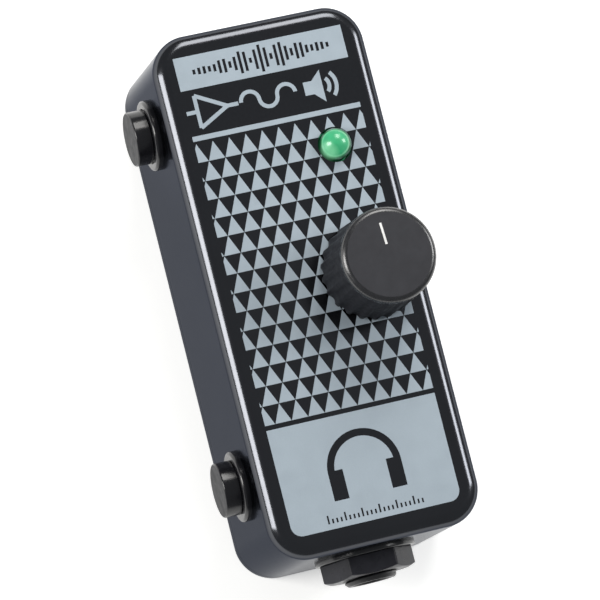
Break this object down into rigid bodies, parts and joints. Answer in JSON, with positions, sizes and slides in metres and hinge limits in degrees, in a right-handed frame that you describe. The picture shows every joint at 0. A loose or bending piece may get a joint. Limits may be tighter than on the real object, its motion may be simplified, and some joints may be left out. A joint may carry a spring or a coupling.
{
  "type": "headphone amplifier",
  "caption": "Pocket headphone amplifier: small black die-cast case with a printed front, a fluted volume knob, a green lamp, an input jack at one end and capped jacks on one side.",
  "frame": {"origin": "centre of the back cover's outer face, on which the case lies", "axes": "+Z out of the front face, +Y along the case to its title end, +X to the right when the front face is seen"},
  "size_m": [0.0426, 0.0994, 0.047],
  "materials": {
    "case_black": "high gloss",
    "screw_black": "blackened",
    "print_silver": "satin print",
    "knob_black": "matte",
    "pointer_white": "matte",
    "spring_steel": "satin",
    "pot_can": "satin",
    "contact_brass": "satin",
    "tinned_lead": "satin",
    "lamp_green": "clear tinted",
    "black_nylon": "satin",
    "black_nut": "satin",
    "cap_grey": "satin",
    "board_green": "solder resist",
    "can_blue": "sleeve",
    "film_orange": "coated",
    "resistor_tan": "lacquer",
    "cell_copper": "sleeve",
    "foam_grey": "closed-cell foam",
    "wire_red": "insulation",
    "wire_black": "insulation",
    "wire_pale": "insulation"
  },
  "bodies": {
    "case": {"enclosure_shell": "case_black", "back_cover": "case_black", "cover_screws": "screw_black", "face_print": "print_silver", "pot_housing": "pot_can", "pot_washer": "pot_can", "pot_nut": "pot_can", "pot_terminals": "tinned_lead", "lamp_lens": "lamp_green", "lamp_leads": "tinned_lead", "lamp_spacer": "black_nylon", "input_jack_body": "black_nylon", "input_jack_washer": "black_nut", "input_jack_nut": "black_nut", "input_sleeve_contact": "contact_brass", "phones_jack_body": "black_nylon", "phones_jack_nut": "black_nut", "phones_sleeve_contact": "contact_brass", "mini_jack_body": "black_nylon", "mini_jack_nut": "black_nut", "mini_jack_contacts": "contact_brass", "circuit_board": "board_green", "amplifier_chip": "black_nylon", "electrolytic_capacitors": "can_blue", "film_capacitors": "film_orange", "resistors": "resistor_tan", "battery_holder": "black_nylon", "battery_cell_left": "cell_copper", "battery_cell_right": "cell_copper", "battery_contacts": "spring_steel", "battery_springs": "spring_steel", "foam_tape": "foam_grey", "battery_lead_red": "wire_red", "battery_lead_black": "wire_black", "input_leads": "wire_pale", "phones_leads": "wire_pale", "mini_leads": "wire_pale"},
    "volume_control": {"knob_body": "knob_black", "knob_pointer": "pointer_white", "knob_clip": "spring_steel", "pot_shaft": "pot_can", "pot_wiper": "contact_brass"},
    "phones_cap": {"phones_jack_cap": "cap_grey"},
    "mini_cap": {"mini_jack_cap": "cap_grey"},
    "input_tip_leaf": {"input_tip_contact": "contact_brass"},
    "input_ring_leaf": {"input_ring_contact": "contact_brass"},
    "phones_tip_leaf": {"phones_tip_contact": "contact_brass"},
    "phones_ring_leaf": {"phones_ring_contact": "contact_brass"}
  },
  "joints": [
    {"name": "volume_turn", "type": "hinge", "parent": "case", "child": "volume_control", "pos_m": [0.0093, -0.0006, 0], "axis": [0, 0, 1], "range_deg": [-153, 147]},
    {"name": "phones_cap_pull", "type": "slide", "parent": "case", "child": "phones_cap", "axis": [-1, 0, 0], "range_m": [0, 0.012]},
    {"name": "mini_cap_pull", "type": "slide", "parent": "case", "child": "mini_cap", "axis": [-1, 0, 0], "range_m": [0, 0.012]},
    {"name": "input_tip_flex", "type": "hinge", "parent": "case", "child": "input_tip_leaf", "pos_m": [0.00445, -0.041, 0.0152], "axis": [0, 0, -1], "range_deg": [0, 3.5], "stiffness_Nm_per_rad": 0.02},
    {"name": "input_ring_flex", "type": "hinge", "parent": "case", "child": "input_ring_leaf", "pos_m": [-0.00445, -0.041, 0.0152], "axis": [0, 0, 1], "range_deg": [0, 3.5], "stiffness_Nm_per_rad": 0.02},
    {"name": "phones_tip_flex", "type": "hinge", "parent": "case", "child": "phones_tip_leaf", "pos_m": [-0.00925, 0.0328, 0.02215], "axis": [0, -1, 0], "range_deg": [0, 3.5], "stiffness_Nm_per_rad": 0.02},
    {"name": "phones_ring_flex", "type": "hinge", "parent": "case", "child": "phones_ring_leaf", "pos_m": [-0.00925, 0.0328, 0.01365], "axis": [0, 1, 0], "range_deg": [0, 3.5], "stiffness_Nm_per_rad": 0.02}
  ]
}
